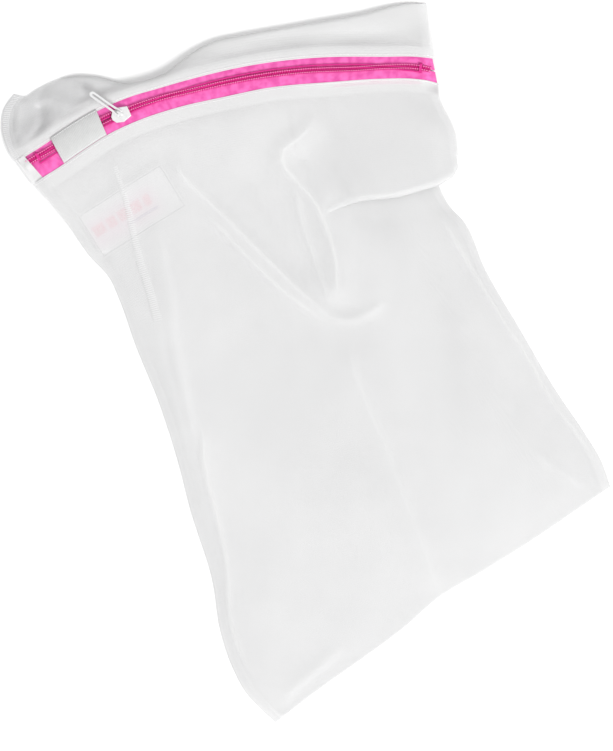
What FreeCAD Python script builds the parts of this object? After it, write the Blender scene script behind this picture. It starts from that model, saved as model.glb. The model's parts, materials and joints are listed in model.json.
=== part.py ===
import FreeCAD, Part
import os
from math import cos, degrees, radians, sin

# Mesh laundry bag lying on its back: the zipped front faces up (+Z), the zip end
# points to +Y and the bag's width runs along X.  Millimetres.  The origin is on the
# floor, under the middle of the bag's bounding box.

# ---- Plan of the bag as it lies, one list of points per edge, anticlockwise ----
BOTTOM_FOLD = [(-141, -244), (-103, -234), (-67, -226), (0, -207), (80, -194.5), (146, -181)]
RIGHT_SEAM_LOWER = [(146, -181), (147, -161), (136, -102), (123.5, -3.5), (122, 37), (116, 63.5)]
FOLDED_CORNER = [(116, 63.5), (129, 65.5), (136, 76)]
RIGHT_SEAM_UPPER = [(136, 76), (139, 118), (149, 156), (158.8, 189)]
TOP_FOLD = [(158.8, 189), (69, 209), (8, 222), (-34, 213), (-61, 218), (-92, 236), (-116, 240.5),
            (-139, 244)]
LEFT_SEAM = [(-139, 244), (-150, 237), (-157, 224), (-158, 206), (-147, 168), (-134.5, 117),
             (-126, 90), (-128, 44), (-130, -13), (-138, -80), (-151, -167), (-153, -213), (-141, -244)]
EDGES = [BOTTOM_FOLD, RIGHT_SEAM_LOWER, FOLDED_CORNER, RIGHT_SEAM_UPPER, TOP_FOLD, LEFT_SEAM]

# Upper end of the lower body, pushed back under the zip end: the cloth is three layers
# thick here on the right, and the pile thins out towards the middle of the bag.
DOUBLED_LOBE = [(137, 117), (134.5, 78), (128, 68), (116, 65.5), (86, 69), (55, 78), (66, 101), (98, 116)]

# ---- Levels above the floor ----
BACK_THICKNESS = 1.0
SEAM_GAP = 0.2
CLOTH_THICKNESS = 1.0
TAPE_THICKNESS = 0.6
TAPE_BOTTOM = 9.0
TAPE_TOP = TAPE_BOTTOM + TAPE_THICKNESS
FRONT_BOTTOM = TAPE_TOP + SEAM_GAP
FRONT_TOP = FRONT_BOTTOM + CLOTH_THICKNESS
LOBE_TOP = 15.5
SEAM_SLOPE_WIDTH = 2.5
SEAM_WALL = 1.0
WINDOW_OVERRUN_ANGLE = 0.1
PARTING_OVERRUN_ANGLE = 10.0
SAME_PLACE = 1e-4

# ---- Zip: a chain sewn along a circular arc across the bag ----
ZIP_CENTRE = FreeCAD.Vector(-64, -197.5, 0)
ZIP_RADIUS = 397.0
ZIP_LEFT_END = 101.2
ZIP_RIGHT_END = 59.7
TAPE_INNER_EDGE = 1.05
TAPE_OUTER_EDGE = 10.0
VISIBLE_HALF_WIDTH = 8.4
COIL_WIDTH = 2.0
COIL_HEIGHT = 1.8
COIL_WALL = 0.5
CORD_CLEARANCE = 0.1
CLOSED_COIL_EDGE = 0.1
OPEN_COIL_EDGE = 1.2
THROAT_HALF_LENGTH = 2.0
THROAT_STEPS = 6
COIL_TOP = TAPE_TOP + COIL_HEIGHT
THREAD_WIDTH = 0.4
THREAD_HEIGHT = 0.15

# ---- Slider and pull tab ----
SLIDER_ANGLE = 91.4
SLIDER_CLEARANCE = 0.4
SLIDER_PLATE = 1.4
SLIDER_BASE_PLATE = 1.2
SLIDER_PLAN = [(6.3, 3.7), (-0.3, 5.5), (-5.4, 4.0), (-7.2, 1.2), (-7.2, -1.2), (-5.4, -4.0),
               (-0.3, -5.5), (6.3, -3.7)]
CHANNEL_PLAN = [(7.0, 2.7), (2.0, 2.7), (-0.8, 3.9), (-8.0, 3.9), (-8.0, -3.9), (-0.8, -3.9),
                (2.0, -2.7), (7.0, -2.7)]
FLANGE_BACK = -3.0
POST_FRONT = -2.4
POST_BACK = -6.0
POST_HALF_WIDTH = 0.7
TOP_RIM_RADIUS = 0.5
BASE_RIM_RADIUS = 0.4
RIM_REACH = 3.0
CROWN_POSITION = (-0.6, 0.9)
PULL_HEADING = 120.6
PULL_DROOP = 2.0
EYE_HEIGHT = 2.4
EYE_LENGTH = 3.0
CROWN_LENGTH = 5.4
CROWN_WIDTH = 1.7
CROWN_ROOF = 1.2
CROWN_ROOT = 0.2
CROWN_ROUNDING = 1.5
PULL_LENGTH = 26.0
PULL_THICKNESS = 1.5
PULL_BASE_HALF_WIDTH = 2.5
PULL_HALF_WIDTH = 2.2
PULL_BASE_SLOT = 1.2
PULL_SLOT = 0.65
PULL_TIP_WALL = 2.2
PULL_SHOULDER = 2.4
PULL_WAIST = 5.5
PULL_SLOT_WAIST = 5.0
PULL_ROUNDING = 0.35
PULL_ROUNDED_FROM = 3.0

# ---- Elastic garage over the closed end of the zip ----
GARAGE_RIGHT = 93.7
GARAGE_LEFT = 99.1
GARAGE_THICKNESS = 0.8
GARAGE_FOOT = 1.4
GARAGE_SLOPE_WIDTH = 2.0
GARAGE_SEAT = TAPE_TOP + 0.1
GARAGE_HALF_WIDTH = VISIBLE_HALF_WIDTH - 0.2
GARAGE_STITCH_INSET_ANGLE = 0.1
GARAGE_UNDERSIDE = COIL_TOP + 0.6

# ---- Sewn-in label, seams and stitches ----
LABEL_CENTRE = (-92, 132)
LABEL_LENGTH = 64.0
LABEL_WIDTH = 42.0
LABEL_TILT = 8.0
LABEL_THICKNESS = 0.3
LABEL_MARGIN = 2.0
LABEL_TOP = FRONT_BOTTOM - 0.3
BINDING_OUTER = 2.5
BINDING_INNER = 6.0
BINDING_THICKNESS = 0.6
TOPSTITCH_OFFSET = 9.4
TOPSTITCH_END_ANGLE = 0.4
BARTACK_INSET = 0.6
BARTACK_LENGTH = 1.6
BARTACK_HALF_WIDTH = 3.0


def vector(point, z=0.0):
    return FreeCAD.Vector(point[0], point[1], z)


def edge_curve(points, z):
    """Smooth curve through one edge's points."""
    curve = Part.BSplineCurve()
    curve.interpolate([vector(p, z) for p in points])
    return curve


def left_normal(edge, index):
    """Unit vector into the bag at one of an edge's points."""
    curve = edge_curve(edge, 0)
    tangent = curve.tangent(curve.parameter(vector(edge[index])))[0]
    return FreeCAD.Vector(-tangent.y, tangent.x, 0)


def inset_edge(edge_number, distance):
    """The points of an edge moved into the bag, mitred where two edges meet."""
    edge = EDGES[edge_number]
    before = EDGES[edge_number - 1]
    after = EDGES[(edge_number + 1) % len(EDGES)]
    moved = []
    for index, point in enumerate(edge):
        normal = left_normal(edge, index)
        shift = normal
        if index == 0:
            other = left_normal(before, len(before) - 1)
            shift = (normal + other) * (1 / (1 + normal.dot(other)))
        if index == len(edge) - 1:
            other = left_normal(after, 0)
            shift = (normal + other) * (1 / (1 + normal.dot(other)))
        moved.append((point[0] + shift.x * distance, point[1] + shift.y * distance))
    return moved


def outline(distance, z):
    """Closed wire round the bag, moved inwards by a distance."""
    edges = [edge_curve(inset_edge(n, distance), z).toShape() for n in range(len(EDGES))]
    return Part.Wire(edges)


def seam_strip(edge_numbers, outer, inner, z, height):
    """Flat strip that follows a run of edges between two insets."""
    outside = [edge_curve(inset_edge(n, outer), z).toShape() for n in edge_numbers]
    inside = [edge_curve(inset_edge(n, inner), z).toShape() for n in edge_numbers]
    start = Part.makeLine(outside[0].Vertexes[0].Point, inside[0].Vertexes[0].Point)
    end = Part.makeLine(outside[-1].Vertexes[-1].Point, inside[-1].Vertexes[-1].Point)
    wire = Part.Wire(Part.__sortEdges__(outside + [end] + inside + [start]))
    return Part.Face(wire).extrude(FreeCAD.Vector(0, 0, height))


def polygon_prism(points, z_low, z_high):
    wire = Part.makePolygon([vector(p, z_low) for p in points + points[:1]])
    return Part.Face(wire).extrude(FreeCAD.Vector(0, 0, z_high - z_low))


def zip_section(points, angle):
    """Closed section in the zip's radial plane; points are (offset from the chain, z)."""
    flat = [FreeCAD.Vector(ZIP_RADIUS + offset, 0, z) for offset, z in points]
    wire = Part.makePolygon(flat + flat[:1])
    wire.rotate(FreeCAD.Vector(), FreeCAD.Vector(0, 0, 1), angle)
    wire.translate(ZIP_CENTRE)
    return wire


def zip_sweep(points, start, end):
    """Solid of one section carried round the zip's arc."""
    face = Part.Face(zip_section(points, start))
    return face.revolve(ZIP_CENTRE, FreeCAD.Vector(0, 0, 1), end - start)


def box_section(inner, outer, low, high):
    return [(inner, low), (outer, low), (outer, high), (inner, high)]


def zip_band(inner, outer, low, high, start=ZIP_RIGHT_END, end=ZIP_LEFT_END):
    return zip_sweep(box_section(inner, outer, low, high), start, end)


def write(name, shape):
    assert shape.isValid(), name
    assert len(shape.Solids) == 1, (name, len(shape.Solids))
    shape.Solids[0].exportStep("parts/" + name + ".step")


# ---- Cloth -------------------------------------------------------------------

def back_panel():
    return Part.Face(outline(0, 0)).extrude(FreeCAD.Vector(0, 0, BACK_THICKNESS))


def front_panels():
    """The raised front, open underneath, split by the zip into a lower and an upper panel."""
    foot = BACK_THICKNESS + SEAM_GAP
    outer = Part.makeLoft([outline(0, foot), outline(SEAM_SLOPE_WIDTH, FRONT_TOP)], True, True)
    inner = Part.makeLoft([outline(SEAM_WALL, foot - SEAM_GAP),
                           outline(SEAM_SLOPE_WIDTH + SEAM_WALL, FRONT_BOTTOM)], True, True)
    window = zip_band(-VISIBLE_HALF_WIDTH, VISIBLE_HALF_WIDTH, FRONT_BOTTOM / 2, 2 * FRONT_TOP,
                      ZIP_RIGHT_END - WINDOW_OVERRUN_ANGLE, ZIP_LEFT_END + WINDOW_OVERRUN_ANGLE)
    parting = zip_band(-SEAM_GAP, SEAM_GAP, 0, 2 * FRONT_TOP,
                       ZIP_RIGHT_END - PARTING_OVERRUN_ANGLE, ZIP_LEFT_END + PARTING_OVERRUN_ANGLE)
    pieces = outer.cut(inner).cut(window).cut(parting).Solids
    lower, upper = sorted(pieces, key=lambda piece: piece.CenterOfMass.y)[-2:]
    lobe = polygon_prism(DOUBLED_LOBE, FRONT_BOTTOM + CLOTH_THICKNESS / 2, LOBE_TOP)
    return lower.fuse(lobe).removeSplitter(), upper


def side_binding(edge_numbers):
    foot = BACK_THICKNESS + SEAM_GAP
    return seam_strip(edge_numbers, BINDING_OUTER, BINDING_INNER, foot, BINDING_THICKNESS)


def side_stitching(edge_numbers):
    """The overlock's needle thread, in the middle of the binding."""
    middle = (BINDING_OUTER + BINDING_INNER) / 2
    z = BACK_THICKNESS + SEAM_GAP + BINDING_THICKNESS
    return seam_strip(edge_numbers, middle - THREAD_WIDTH, middle + THREAD_WIDTH, z, THREAD_HEIGHT)


# ---- Zip ---------------------------------------------------------------------

def zip_tape(side):
    inner, outer = sorted([side * TAPE_INNER_EDGE, side * TAPE_OUTER_EDGE])
    return zip_band(inner, outer, TAPE_BOTTOM, TAPE_TOP)


def along_chain(side, margin_inner, margin_outer, low, high):
    """
    A strip that follows one coil: edge to edge with its neighbour where the chain is
    closed, to the right of the slider, and standing apart where it is open, to the left.
    """
    def section(gap):
        edges = sorted([side * (gap + margin_inner), side * (gap + margin_outer)])
        return box_section(edges[0], edges[1], low, high)

    half_throat = degrees(THROAT_HALF_LENGTH / ZIP_RADIUS)
    right = SLIDER_ANGLE - half_throat
    left = SLIDER_ANGLE + half_throat
    closed = zip_sweep(section(CLOSED_COIL_EDGE), ZIP_RIGHT_END, right)
    opened = zip_sweep(section(OPEN_COIL_EDGE), left, ZIP_LEFT_END)
    stations = []
    for step in range(THROAT_STEPS + 1):
        share = step / THROAT_STEPS
        blend = share * share * (3 - 2 * share)
        gap = CLOSED_COIL_EDGE + (OPEN_COIL_EDGE - CLOSED_COIL_EDGE) * blend
        stations.append(zip_section(section(gap), right + (left - right) * share))
    throat = Part.makeLoft(stations, True, True)
    return closed.fuse([throat, opened]).removeSplitter()


def coil(side):
    body = along_chain(side, 0, COIL_WIDTH, TAPE_TOP, COIL_TOP)
    hollow = along_chain(side, COIL_WALL, COIL_WIDTH - COIL_WALL,
                         TAPE_TOP + COIL_WALL, COIL_TOP - COIL_WALL)
    return body.cut(hollow)


def coil_cord(side):
    """The filler cord that runs through the coil."""
    margin = COIL_WALL + CORD_CLEARANCE
    return along_chain(side, margin, COIL_WIDTH - margin, TAPE_TOP + margin, COIL_TOP - margin)


def coil_stitching(side):
    """The thread that holds a coil down on its tape, seen as a line on top of the coil."""
    middle = COIL_WIDTH / 2
    half = THREAD_WIDTH / 2
    return along_chain(side, middle - half, middle + half, COIL_TOP, COIL_TOP + THREAD_HEIGHT)


def bartack(end, direction):
    """Thread bar over both coils that closes one end of the chain."""
    start = end + direction * degrees(BARTACK_INSET / ZIP_RADIUS)
    stop = start + direction * degrees(BARTACK_LENGTH / ZIP_RADIUS)
    start, stop = sorted([start, stop])
    low = COIL_TOP + 2 * THREAD_HEIGHT
    return zip_band(-BARTACK_HALF_WIDTH, BARTACK_HALF_WIDTH, low, low + 2 * THREAD_WIDTH, start, stop)


def topstitch(side):
    """Row of stitches through a panel's turned edge and the tape under it."""
    edges = sorted([side * TOPSTITCH_OFFSET, side * (TOPSTITCH_OFFSET + THREAD_WIDTH)])
    return zip_band(edges[0], edges[1], FRONT_TOP, FRONT_TOP + THREAD_HEIGHT,
                    ZIP_RIGHT_END + TOPSTITCH_END_ANGLE, ZIP_LEFT_END - TOPSTITCH_END_ANGLE)


# ---- Slider and pull ----------------------------------------------------------

TOP_PLATE_LOW = COIL_TOP + SLIDER_CLEARANCE
TOP_PLATE_HIGH = TOP_PLATE_LOW + SLIDER_PLATE
BASE_PLATE_HIGH = TAPE_BOTTOM - SLIDER_CLEARANCE
BASE_PLATE_LOW = BASE_PLATE_HIGH - SLIDER_BASE_PLATE
PIN_HEIGHT = TOP_PLATE_HIGH + EYE_HEIGHT / 2


def place_on_chain(shape):
    """Carry a shape from slider axes (X along the chain, Y outwards) to its place."""
    shape.rotate(FreeCAD.Vector(), FreeCAD.Vector(0, 0, 1), SLIDER_ANGLE - 90)
    angle = radians(SLIDER_ANGLE)
    shape.translate(ZIP_CENTRE + FreeCAD.Vector(cos(angle), sin(angle), 0) * ZIP_RADIUS)
    return shape


def turn_to_pull(shape):
    """Carry a shape from pull axes (X along the pull, from its pin) to slider axes."""
    shape.rotate(FreeCAD.Vector(), FreeCAD.Vector(0, 0, 1), PULL_HEADING)
    shape.translate(FreeCAD.Vector(CROWN_POSITION[0], CROWN_POSITION[1], 0))
    return shape


def round_rim(shape, z, radius):
    """Round the edges that lie level at height z, away from the plate's middle."""
    rim = [edge for edge in shape.Edges
           if all(abs(v.Point.z - z) < SAME_PLACE for v in edge.Vertexes)
           and edge.CenterOfMass.sub(FreeCAD.Vector(0, 0, z)).Length > RIM_REACH]
    return shape.makeFillet(radius, rim)


def slider_body():
    top = polygon_prism(SLIDER_PLAN, TOP_PLATE_LOW, TOP_PLATE_HIGH)
    skirt = polygon_prism(SLIDER_PLAN, TAPE_TOP + SLIDER_CLEARANCE, TOP_PLATE_LOW)
    channel = polygon_prism(CHANNEL_PLAN, TAPE_TOP, TOP_PLATE_LOW)
    size = 4 * SLIDER_PLAN[0][0]
    behind = Part.makeBox(size, size, size, FreeCAD.Vector(FLANGE_BACK - size, -size / 2, TAPE_TOP))
    flanges = skirt.cut(channel).cut(behind)
    base = polygon_prism(SLIDER_PLAN, BASE_PLATE_LOW, BASE_PLATE_HIGH)
    post = Part.makeBox(POST_FRONT - POST_BACK, 2 * POST_HALF_WIDTH, TOP_PLATE_HIGH - BASE_PLATE_LOW,
                        FreeCAD.Vector(POST_BACK, -POST_HALF_WIDTH, BASE_PLATE_LOW))
    body = top.fuse([flanges, base, post]).removeSplitter()
    body = round_rim(body, TOP_PLATE_HIGH, TOP_RIM_RADIUS)
    body = round_rim(body, BASE_PLATE_LOW, BASE_RIM_RADIUS)
    return place_on_chain(body.fuse(crown()).removeSplitter())


def crown():
    """The bridge on the slider whose eye holds the pull's pin."""
    height = EYE_HEIGHT + CROWN_ROOF
    block = Part.makeBox(CROWN_LENGTH, CROWN_WIDTH, height + CROWN_ROOT,
                         FreeCAD.Vector(-CROWN_LENGTH / 2, -CROWN_WIDTH / 2,
                                        TOP_PLATE_HIGH - CROWN_ROOT))
    ends = [edge for edge in block.Edges
            if all(abs(v.Point.z - (TOP_PLATE_HIGH + height)) < SAME_PLACE for v in edge.Vertexes)
            and abs(abs(edge.CenterOfMass.x) - CROWN_LENGTH / 2) < SAME_PLACE]
    arch = block.makeFillet(CROWN_ROUNDING, ends)
    eye = Part.makeBox(EYE_LENGTH, 2 * CROWN_WIDTH, EYE_HEIGHT,
                       FreeCAD.Vector(-EYE_LENGTH / 2, -CROWN_WIDTH, TOP_PLATE_HIGH))
    return turn_to_pull(arch.cut(eye))


def tapered_plan(base_x, base_half, waist_x, waist_half, tip_x, rounded):
    """Half-widths along the pull: wide at its base, slim beyond the waist."""
    upper = [(base_x, base_half), (base_x + PULL_SHOULDER, base_half), (waist_x, waist_half),
             (tip_x - rounded, waist_half)]
    lower = [(x, -y) for x, y in reversed(upper)]
    prism = polygon_prism(upper + lower, -PULL_THICKNESS / 2, PULL_THICKNESS / 2)
    tip = Part.makeCylinder(rounded, PULL_THICKNESS,
                            FreeCAD.Vector(tip_x - rounded, 0, -PULL_THICKNESS / 2))
    return prism.fuse(tip).removeSplitter()


def pull_tab():
    """Long loop with a pin at its base that turns in the crown's eye."""
    pin_radius = PULL_THICKNESS / 2
    loop = tapered_plan(0, PULL_BASE_HALF_WIDTH, PULL_WAIST, PULL_HALF_WIDTH,
                        PULL_LENGTH, PULL_HALF_WIDTH)
    slot_tip = PULL_LENGTH - PULL_TIP_WALL
    slot = tapered_plan(pin_radius, PULL_BASE_SLOT, PULL_SLOT_WAIST, PULL_SLOT, slot_tip, PULL_SLOT)
    pin = Part.makeCylinder(pin_radius, 2 * PULL_BASE_HALF_WIDTH,
                            FreeCAD.Vector(0, -PULL_BASE_HALF_WIDTH, 0), FreeCAD.Vector(0, 1, 0))
    loop = loop.cut(slot)
    faces = [edge for edge in loop.Edges
             if all(abs(abs(v.Point.z) - PULL_THICKNESS / 2) < SAME_PLACE for v in edge.Vertexes)
             and all(v.Point.x > PULL_ROUNDED_FROM for v in edge.Vertexes)
             and all(abs(v.Point.y) > PULL_SLOT + PULL_ROUNDING for v in edge.Vertexes)]
    loop = loop.makeFillet(PULL_ROUNDING, faces)
    tab = loop.fuse(pin).removeSplitter()
    tab.rotate(FreeCAD.Vector(), FreeCAD.Vector(0, 1, 0), PULL_DROOP)
    tab.translate(FreeCAD.Vector(0, 0, PIN_HEIGHT))
    return place_on_chain(turn_to_pull(tab))


def pull_axis():
    """A point on the pull's pin and the direction that lifts the pull when it turns."""
    mark = Part.Vertex(0, 0, PIN_HEIGHT)
    place_on_chain(turn_to_pull(mark))
    heading = radians(PULL_HEADING + SLIDER_ANGLE - 90)
    return mark.Point, FreeCAD.Vector(sin(heading), -cos(heading), 0)


# ---- Garage and label ---------------------------------------------------------

def garage_band():
    """Elastic strip over the chain, standing on both tapes just inside the hems."""
    foot = GARAGE_HALF_WIDTH
    rise = foot - GARAGE_FOOT
    crest = rise - GARAGE_SLOPE_WIDTH
    under = [(-foot, GARAGE_SEAT), (-rise, GARAGE_SEAT), (-crest, GARAGE_UNDERSIDE),
             (crest, GARAGE_UNDERSIDE), (rise, GARAGE_SEAT), (foot, GARAGE_SEAT)]
    over = [(x, z + GARAGE_THICKNESS) for x, z in reversed(under)]
    return zip_sweep(under + over, GARAGE_RIGHT, GARAGE_LEFT)


def garage_stitching(side):
    middle = side * (GARAGE_HALF_WIDTH - GARAGE_FOOT / 2)
    low = GARAGE_SEAT + GARAGE_THICKNESS
    return zip_band(middle - THREAD_WIDTH / 2, middle + THREAD_WIDTH / 2, low, low + THREAD_HEIGHT,
                    GARAGE_RIGHT + GARAGE_STITCH_INSET_ANGLE, GARAGE_LEFT - GARAGE_STITCH_INSET_ANGLE)


def label_plate(length, width, low, high):
    plate = Part.makeBox(length, width, high - low, FreeCAD.Vector(-length / 2, -width / 2, low))
    plate.rotate(FreeCAD.Vector(), FreeCAD.Vector(0, 0, 1), LABEL_TILT)
    plate.translate(vector(LABEL_CENTRE))
    return plate


def care_label():
    return label_plate(LABEL_LENGTH, LABEL_WIDTH, LABEL_TOP - LABEL_THICKNESS, LABEL_TOP)


def label_stitching():
    """Thread line round the label, just inside its edge, on the side facing the mesh."""
    outer = label_plate(LABEL_LENGTH - 2 * LABEL_MARGIN, LABEL_WIDTH - 2 * LABEL_MARGIN,
                        LABEL_TOP, LABEL_TOP + THREAD_HEIGHT)
    shrink = LABEL_MARGIN + THREAD_WIDTH
    inner = label_plate(LABEL_LENGTH - 2 * shrink, LABEL_WIDTH - 2 * shrink,
                        LABEL_TOP - THREAD_HEIGHT, LABEL_TOP + 2 * THREAD_HEIGHT)
    return outer.cut(inner)


def main():
    os.makedirs("parts", exist_ok=True)
    lower, upper = front_panels()
    write("back_panel", back_panel())
    write("front_lower_panel", lower)
    write("front_upper_panel", upper)
    left_edges = [5]
    right_edges = [1, 2, 3]
    write("left_side_binding", side_binding(left_edges))
    write("right_side_binding", side_binding(right_edges))
    write("left_side_stitching", side_stitching(left_edges))
    write("right_side_stitching", side_stitching(right_edges))
    for name, side in (("upper", 1), ("lower", -1)):
        write(name + "_zip_tape", zip_tape(side))
        write(name + "_coil", coil(side))
        write(name + "_coil_cord", coil_cord(side))
        write(name + "_coil_stitching", coil_stitching(side))
        write(name + "_topstitch", topstitch(side))
        write("garage_" + name + "_stitching", garage_stitching(side))
    write("left_bartack", bartack(ZIP_LEFT_END, -1))
    write("right_bartack", bartack(ZIP_RIGHT_END, 1))
    write("slider_body", slider_body())
    write("pull_tab", pull_tab())
    write("garage_band", garage_band())
    write("care_label", care_label())
    write("label_stitching", label_stitching())
    point, axis = pull_axis()
    print("slider hinge", ZIP_CENTRE)
    print("pull hinge", point, axis)


main()
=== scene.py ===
import json
import math

import bmesh
import bpy
import numpy as np
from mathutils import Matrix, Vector
from mathutils.bvhtree import BVHTree


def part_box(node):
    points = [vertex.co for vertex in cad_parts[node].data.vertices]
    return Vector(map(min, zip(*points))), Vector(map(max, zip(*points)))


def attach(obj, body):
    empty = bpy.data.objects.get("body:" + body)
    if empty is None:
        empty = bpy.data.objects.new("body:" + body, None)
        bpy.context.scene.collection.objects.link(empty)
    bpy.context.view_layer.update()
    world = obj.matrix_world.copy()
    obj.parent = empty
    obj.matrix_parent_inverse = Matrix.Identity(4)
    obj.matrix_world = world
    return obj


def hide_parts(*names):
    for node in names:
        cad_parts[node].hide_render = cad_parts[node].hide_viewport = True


# A net laundry bag that lies on its back, zip upwards.  Lengths in this script are in
# millimetres in the CAD's frame and become metres where a mesh is made.
MM = 0.001

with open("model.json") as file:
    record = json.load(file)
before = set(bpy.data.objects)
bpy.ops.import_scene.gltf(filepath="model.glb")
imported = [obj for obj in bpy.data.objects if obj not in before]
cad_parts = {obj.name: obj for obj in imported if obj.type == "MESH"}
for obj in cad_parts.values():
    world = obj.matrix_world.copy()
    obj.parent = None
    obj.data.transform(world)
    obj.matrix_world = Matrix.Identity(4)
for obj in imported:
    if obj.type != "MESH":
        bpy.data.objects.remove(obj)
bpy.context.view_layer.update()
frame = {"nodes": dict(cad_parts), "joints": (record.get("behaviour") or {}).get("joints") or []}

# ---- Zip: the arc that the slider's joint turns about ----
HINGE = next(j for j in frame["joints"] if j["name"] == "slider_travel")
ZIP_CENTRE = np.array(HINGE["pos_m"][:2]) / MM
TAPE_LOW, TAPE_HIGH = (corner.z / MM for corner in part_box("upper_zip_tape"))
COIL_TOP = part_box("upper_coil")[1].z / MM
SLIDER_MIDDLE = (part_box("slider_body")[0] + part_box("slider_body")[1]) / 2 / MM
SLIDER_ANGLE = math.degrees(math.atan2(SLIDER_MIDDLE.y - ZIP_CENTRE[1], SLIDER_MIDDLE.x - ZIP_CENTRE[0]))
ZIP_RADIUS = 397.0
HEM_REACH = 8.4
TAPE_UNDER_HEM = 3.5
TAPE_END_DROP = 6.5
TAPE_END_RAMP_ANGLE = 2.0
ZIP_LEFT, ZIP_RIGHT = 101.2, 59.7
SEAM_LEFT, SEAM_RIGHT = 103.07, 58.25
TAPE_LEFT_END = 102.4
COVER_START = 101.95
SEAM_LEFT_SLANT, SEAM_RIGHT_SLANT = 0.0155, 0.0536
COIL_PITCH = 1.68
WINDOW_WIDTH = 17.0
COIL_OPEN_GAP = 1.1
GARAGE_THICKNESS = 0.8
# how far the cloth's pull bends the chain and both hems off the arc: (angle, distance outwards)
CHAIN_LINE = [(58, 1.5), (60.5, 2.0), (63, 0.5), (67, -2.2), (72, -2.2), (80, -1.9), (84, -1.2),
              (87, 0.5), (90, 1.6), (95, 2.0), (100, 2.4), (103.5, 4.2)]
UPPER_HEM_LINE = [(58, 9.5), (60, 9.5), (64, 7.2), (70, 6.6), (76, 6.6), (84, 6.9), (87, 7.7),
                  (90, 9.4), (93, 9.8), (97, 8.5), (100, 7.4), (103.5, 8.6)]
LOWER_HEM_LINE = [(58, -6.8), (60, -6.8), (64, -9.0), (69, -11.6), (76, -11.2), (80, -11.6),
                  (86, -9.6), (90, -8.5), (93, -8.5), (97, -10.6), (100, -11.8), (103.5, -10.4)]

# ---- Cloth: lengths in millimetres, levels above the floor ----
BAG_WIDTH = 300.0
UPPER_LENGTH = 44.0
FLOOR_GAP = 0.4
LEFT_EDGE_FALL, RIGHT_EDGE_FALL = 12.0, 17.0
FOOT_FALL = 26.0
HEM_ABOVE_TAPE = 0.6
BODY_PUFF = 4.6
TOP_LAYER, MIDDLE_LAYER, LOWEST_LAYER = 8.4, 5.4, 1.6
LOBE_RISE = 3.6
LIFTED_LEVEL, UNDER_LEVEL = 4.4, 1.2
# how much lighter the doubled hem is; how much more open and darker, as painted shade, the upper panel's
# left end is, and how much denser and lighter, as painted light, its right end is
HEM_LIGHTNESS = 0.14
OPEN_NET_PAINTED_SHADE = 0.6
DENSE_NET_PAINTED_LIGHT = 0.35
LABEL_LENGTH, LABEL_WIDTH, LABEL_TILT = 71.0, 36.0, 9.2
LABEL_MIDDLE = (-93.7, 133.5)
COLUMNS = 221
LOWER_ROWS = 421
UPPER_ROWS = 61
TOPSTITCH_INSET = 1.6

BOTTOM_FOLD = [(-141, -244), (-103, -234), (-67, -226), (-30, -217), (0, -207), (41, -201),
               (80, -194.5), (117, -187), (146, -181)]
LEFT_EDGE = [(-151, 181.6), (-147, 168), (-139.5, 142), (-134.5, 117), (-127, 95), (-126.5, 78),
             (-128.5, 44), (-129, 0), (-133, -46), (-138, -80), (-143.5, -135), (-151.5, -167),
             (-154, -195), (-152.5, -214), (-141, -244)]
RIGHT_EDGE = [(142.8, 132), (132, 112), (121, 88), (116, 63.5), (118, 47), (122, 37), (123.5, -3.5),
              (130, -53), (136.5, -102), (144, -140), (147, -161), (146, -181)]
TOP_EDGE = [(-139, 244), (-132, 239), (-124, 240.5), (-97, 239), (-80, 231.5), (-61, 217.5),
            (-34, 213), (-12, 220), (8, 222), (26, 218.5), (69, 209), (111, 199.5), (147, 193.5),
            (158.8, 189)]
TOP_LEFT_EDGE = [(-156.3, 197.5), (-158.3, 208), (-157, 224), (-150, 237), (-139, 244)]
LIP = [(40, 78), (52, 77), (63, 74.8), (85, 67.6), (116, 64), (127, 65.5), (133, 70), (135, 78)]
LOBE_OVERHANG = 18.5
FOLD_DEPTH = 57.0
FOLD_START = 0.62


def smooth(t):
    """Step from 0 to 1 with soft ends."""
    t = np.clip(t, 0.0, 1.0)
    return t * t * (3 - 2 * t)


def spline(points, t):
    """Smooth line through points at t from 0 to 1 of its chord length."""
    points = np.array(points, float)
    steps = np.linalg.norm(np.diff(points, axis=0), axis=1)
    chord = np.concatenate([[0], np.cumsum(steps)]) / steps.sum()
    slopes = np.gradient(points, chord, axis=0)
    t = np.clip(np.asarray(t, float), 0, 1)
    i = np.clip(np.searchsorted(chord, t, side="right") - 1, 0, len(chord) - 2)
    span = chord[i + 1] - chord[i]
    x = ((t - chord[i]) / span)[..., None]
    span = span[..., None]
    return ((1 + 2 * x) * (1 - x) ** 2 * points[i] + x * (1 - x) ** 2 * span * slopes[i]
            + x * x * (3 - 2 * x) * points[i + 1] + x * x * (x - 1) * span * slopes[i + 1])


def line_offset(line, angle):
    """Offset of one of the zip's lines from the arc at an angle."""
    table = np.array(line, float)
    dense = spline(table, np.linspace(0, 1, 400))
    return np.interp(angle, dense[:, 0], dense[:, 1])


def polar(angle, offset):
    """Plan point at an angle in degrees and a distance outwards from the chain."""
    a = np.radians(angle)
    r = ZIP_RADIUS + offset
    return np.stack([ZIP_CENTRE[0] + r * np.cos(a), ZIP_CENTRE[1] + r * np.sin(a)], -1)


def hem_point(s, side):
    """Angle and plan of the bag's column s where it meets the zip window's edge."""
    line = UPPER_HEM_LINE if side > 0 else LOWER_HEM_LINE
    left = SEAM_LEFT + SEAM_LEFT_SLANT * side * HEM_REACH
    right = SEAM_RIGHT + SEAM_RIGHT_SLANT * side * HEM_REACH
    angle = left + (right - left) * s
    return angle, polar(angle, line_offset(line, angle))


def tape_height(angle):
    """Height of the tape's middle: level under the slider's travel, down to the seams beyond."""
    beyond = np.maximum(angle - ZIP_LEFT, ZIP_RIGHT - angle)
    return (TAPE_LOW + TAPE_HIGH) / 2 - TAPE_END_DROP * smooth(beyond / TAPE_END_RAMP_ANGLE)


def zip_points(angles, offsets, heights):
    """Points at angles along the zip, distances outwards from the arc, and heights."""
    return np.concatenate([polar(angles, offsets), heights[:, None]], -1)


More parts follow.
